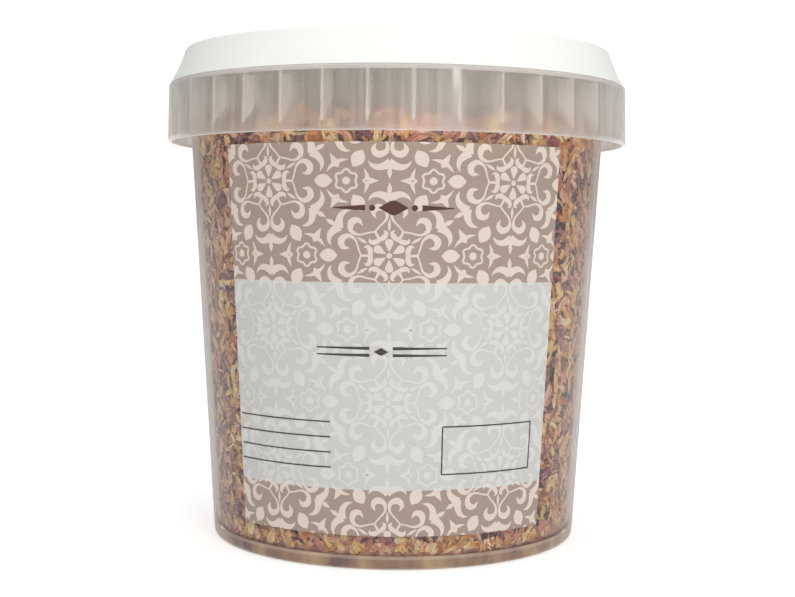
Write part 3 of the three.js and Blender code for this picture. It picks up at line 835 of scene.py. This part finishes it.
# Strokes as (out from the centre, across, width), in millimetres.
PETAL = [(1.1, 0, 0.2), (2.3, 0, 1.35), (3.3, 0, 2.1), (4.0, 0, 1.5), (4.3, 0, 0.2)]
TICK = [(6.2, 0, 0.1), (7.6, 0, 0.8), (9.4, 0, 0.1)]
STEM = [(4.7, 0, 0.9), (5.8, 0, 0.65), (7.1, 0, 0.55)]
HOOK = [(4.6, -0.2, 0.9), (4.7, 1.3, 1.35), (5.4, 2.3, 0.9), (6.3, 2.0, 0.1)]
SCROLL = [(7.0, 0, 0.45), (7.6, 1.6, 0.45), (8.4, 4.0, 0.6), (10.3, 5.05, 1.2),
          (12.0, 3.8, 1.75), (11.5, 2.1, 1.3), (9.8, 1.9, 0.1)]
SWAG = [(14.4, -0.2, 2.4), (15.2, 1.4, 1.9), (15.5, 2.9, 1.5), (15.0, 4.3, 0.9), (13.9, 5.2, 0.1)]
DROP = [(15.6, 0, 0.6), (16.9, 0, 1.2), (18.4, 0, 0.1)]
LEAF = [(13.0, 0, 0.1), (14.1, 0, 2.6), (15.4, 0, 3.4), (16.6, 0, 2.6), (17.8, 0, 0.1)]
STAR_SPIKE = [(3.9, 0, 0.2), (5.2, 0, 1.9), (8.0, 0, 0.1)]
STAR_ARM = [(5.2, -0.1, 1.1), (5.1, 1.4, 0.9), (4.4, 3.2, 0.1)]


def smooth_line(points, steps=3):
    """A smooth curve through the points (Catmull-Rom), each given as a Vector."""
    ends = [2 * points[0] - points[1], *points, 2 * points[-1] - points[-2]]
    line = []
    for a, b, c, d in zip(ends, ends[1:], ends[2:], ends[3:]):
        for i in range(steps):
            t = i / steps
            line.append(0.5 * (2 * b + (c - a) * t + (2 * a - 5 * b + 4 * c - d) * t * t
                               + (3 * b - a - 3 * c + d) * t ** 3))
    return [*line, points[-1]]


def ink_stroke(shape, points, centre, turn, side=1, closed=False):
    """One brush stroke of ink, flat: a ribbon along the points with their widths, turned
    round a centre. `side` of -1 mirrors it across its own axis."""
    line = smooth_line([Vector(p) for p in points]) if not closed else [Vector(p) for p in points]
    spin = Matrix.Rotation(turn, 2)
    rows = []
    for i, point in enumerate(line):
        before = line[i - 1] if i or closed else point
        after = line[(i + 1) % len(line)] if i + 1 < len(line) or closed else point
        ahead = (after.xy - before.xy).normalized()
        edge = Vector((-ahead.y, ahead.x)) * max(point.z, 0.06) / 2
        row = []
        for reach in (-1, 0, 1):
            spot = point.xy + edge * reach
            flat = spin @ Vector((spot.x, spot.y * side)) + Vector(centre)
            row.append(shape.verts.new((flat.x, flat.y, 0)))
        rows.append(row)
    for a, b in zip(rows, rows[1:] + rows[:1] if closed else rows[1:]):
        for j in (0, 1):
            shape.faces.new((a[j], b[j], b[j + 1], a[j + 1]))


def ink_dot(shape, centre, radius):
    """A round spot of ink, flat."""
    place = Matrix.Translation((*centre, 0))
    bmesh.ops.create_circle(shape, cap_ends=True, segments=16, radius=radius, matrix=place)


def ink_medallion(shape, centre):
    """The scrollwork medallion and the six leaves and swags round it."""
    ink_dot(shape, centre, 0.7)
    for turn in ARM_TURNS:
        ink_stroke(shape, STEM, centre, turn)
        ink_stroke(shape, LEAF, centre, turn)
        for side in (1, -1):
            ink_stroke(shape, HOOK, centre, turn, side)
            ink_stroke(shape, SCROLL, centre, turn, side)
    for turn in GAP_TURNS:
        for motif in (PETAL, TICK, DROP):
            ink_stroke(shape, motif, centre, turn)
        for side in (1, -1):
            ink_stroke(shape, SWAG, centre, turn, side)


def ink_flower(shape, centre, facing):
    """The small flower between three medallions, with its three stars."""
    ink_dot(shape, centre, 1.0)
    outline = []
    for i in range(48):
        angle = 2 * math.pi * i / 48
        reach = 2.6 - 0.32 * math.cos(6 * angle)
        outline.append((reach * math.cos(angle), reach * math.sin(angle), 0.55))
    ink_stroke(shape, outline, centre, 0, closed=True)
    for k in range(3):
        turn = facing + 2 * math.pi * k / 3
        ink_stroke(shape, STAR_SPIKE, centre, turn)
        for side in (1, -1):
            ink_stroke(shape, STAR_ARM, centre, turn, side)


def ink(name, colour):
    """Offset printing ink on coated paper: a thin even film, semi-gloss like the sheet."""
    return printed_paper(name, colour, 0.02)


ornament_shape = bmesh.new()
for column in range(-2, 3):
    for row in range(-3, 3):
        across = MEDALLION[0] + column * TILE_PITCH[0]
        height = MEDALLION[1] + (row + 0.5 * (column % 2)) * TILE_PITCH[1]
        ink_medallion(ornament_shape, (across, height))
        for side in (1, -1):
            spot = (across + side * TILE_PITCH[0] / 3, height - TILE_PITCH[1] / 2)
            ink_flower(ornament_shape, spot, 0 if side < 0 else math.pi)
bmesh.ops.recalc_face_normals(ornament_shape, faces=ornament_shape.faces)
for across, keep in zip(LABEL_ENDS, ("above", "below")):
    cut_flat(ornament_shape, across=across, keep=keep)
for height, keep in zip(LABEL_HEIGHTS, ("above", "below")):
    cut_flat(ornament_shape, height=height, keep=keep)
for border in BAND_HEIGHTS:
    cut_flat(ornament_shape, height=border)
for face in ornament_shape.faces:
    in_band = BAND_HEIGHTS[0] < face.calc_center_median().y < BAND_HEIGHTS[1]
    face.material_index = 1 if in_band else 0
wrap_round_wall(ornament_shape, PAPER_LIFT + PAPER_THICK - 0.01, INK_THICK)
ornament = link_object("label_ornament", ornament_shape,
                       ink("ink_cream", "#CBBDB1"), ink("ink_pale", "#C4C3BF"))
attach(ornament, "root")
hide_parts("label")


# -------------------------------------------------------- the label's dark print
# Printed over the ornament, with no words: a lozenge between tapered rules at
# the top, a broken rule where a title would stand, and below it lines to write
# on and an empty frame for a date stamp.

RULE_STEP = 2.5
LOZENGE = [(-3.6, 0, 0.1), (-1.8, 0, 2.2), (0, 0, 3.8), (1.8, 0, 2.2), (3.6, 0, 0.1)]
CREST = (-0.5, 94.2)
TITLE = (-3.4, 57.5)
WRITING_LINES = (-47.0, -17.0, (39.0, 35.0, 31.0, 27.0))
STAMP_FRAME = (13.0, 40.5, 25.5, 38.0)


def ink_rule(shape, start, end, widths=(0.35, 0.35)):
    """A straight rule of ink, flat, stepped finely enough to lie round the wall. Its
    width goes from the first of `widths` to the second."""
    start, end = Vector((*start, widths[0])), Vector((*end, widths[1]))
    count = max(1, round((end - start).length / RULE_STEP))
    ink_stroke(shape, [start.lerp(end, i / count) for i in range(count + 1)], (0, 0), 0)


print_shape = bmesh.new()
ink_stroke(print_shape, LOZENGE, CREST, 0)
for side in (1, -1):
    ink_dot(print_shape, (CREST[0] + side * 5.2, CREST[1]), 0.75)
    ink_rule(print_shape, (CREST[0] + side * 7, CREST[1]), (CREST[0] + side * 15, CREST[1]), (1.5, 0.2))
crest_faces = len(print_shape.faces)
ink_stroke(print_shape, [(x * 0.5, y, w * 0.5) for x, y, w in LOZENGE], TITLE, 0)
for side in (1, -1):
    for lift in (0.9, -0.9):
        ink_rule(print_shape, (TITLE[0] + side * 3, TITLE[1] + lift),
                 (TITLE[0] + side * 17, TITLE[1] + lift), (0.8, 0.3))
left, right, heights = WRITING_LINES
for height in heights:
    ink_rule(print_shape, (left, height), (right, height))
left, right, low, high = STAMP_FRAME
for height in (low, high):
    ink_rule(print_shape, (left, height), (right, height))
for across in (left, right):
    ink_rule(print_shape, (across, low), (across, high))
print_shape.faces.ensure_lookup_table()
for face in print_shape.faces[crest_faces:]:
    face.material_index = 1
bmesh.ops.recalc_face_normals(print_shape, faces=print_shape.faces)
wrap_round_wall(print_shape, PAPER_LIFT + PAPER_THICK + INK_THICK - 0.02, INK_THICK)
dark_print = link_object("label_dark_print", print_shape,
                         ink("ink_dark_brown", "#4A2C22"), ink("ink_black", "#3A3634"))
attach(dark_print, "root")
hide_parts("label")


# ------------------------------------------------------------------- the lid
# One moulding of white polyethylene: a sunk panel inside a standing rim, a
# ring that plugs the tub's mouth, and a flared skirt that ends on the collar.

LID_TOP = 139.5
LID_SKIRT_END = 129.65
PANEL_TOP = 136.0


def white_plastic():
    """White polyethylene, satin moulded: a soft broad sheen and a hint of green."""
    material, tree, output = new_material("polyethylene_white")
    place = add_node(tree, "ShaderNodeTexCoord")
    grain = add_node(tree, "ShaderNodeTexNoise", {
        "Vector": place.outputs["Object"], "Scale": 1 / (0.8 * MM), "Detail": 3.0})
    bump = add_node(tree, "ShaderNodeBump", {
        "Height": grain.outputs["Fac"], "Strength": 0.06, "Distance": 0.1 * MM})
    shell = add_node(tree, "ShaderNodeBsdfPrincipled", {
        "Base Color": linear("#F3F5F0"), "Roughness": 0.38, "IOR": 1.5,
        "Subsurface Weight": 0.2, "Subsurface Radius": (1, 1, 1), "Subsurface Scale": 1.5 * MM,
        "Normal": bump.outputs[0]})
    glow = add_node(tree, "ShaderNodeBsdfTranslucent", {"Color": linear("#F3F5F0")})
    whole = add_node(tree, "ShaderNodeMixShader", {0: 0.15, 1: shell.outputs[0], 2: glow.outputs[0]})
    tree.links.new(whole.outputs[0], output.inputs["Surface"])
    return material


def curve(start, towards, end, steps):
    """Points of a quadratic curve between two (radius, height) points."""
    points = []
    for i in range(steps + 1):
        t = i / steps
        points.append(tuple((1 - t) ** 2 * a + 2 * t * (1 - t) * b + t * t * c
                            for a, b, c in zip(start, towards, end)))
    return points


lid_shape = turned([
    (0, PANEL_TOP - WALL_THICK),
    (58.1, PANEL_TOP - WALL_THICK),
    (58.1, 131.6),
    (58.8, 131.6),
    (59.1, 132.4),
    (59.1, LID_TOP - WALL_THICK),
    (61.0, LID_TOP - WALL_THICK),
    (61.5, 135.3),
    (60.85, 134.6),
    (62.6, 133.6),
    (64.9, 130.4),
    (64.9, LID_SKIRT_END),
    *curve((65.9, LID_SKIRT_END), (63.1, 134.3), (61.6, 139.1), 14),
    (61.3, LID_TOP),
    (59.2, LID_TOP),
    (58.2, 138.6),
    (57.6, PANEL_TOP),
    (0, PANEL_TOP),
])
lid = link_object("lid_moulding", lid_shape, white_plastic())
soften(lid, 0.12)
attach(lid, "root")
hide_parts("lid")
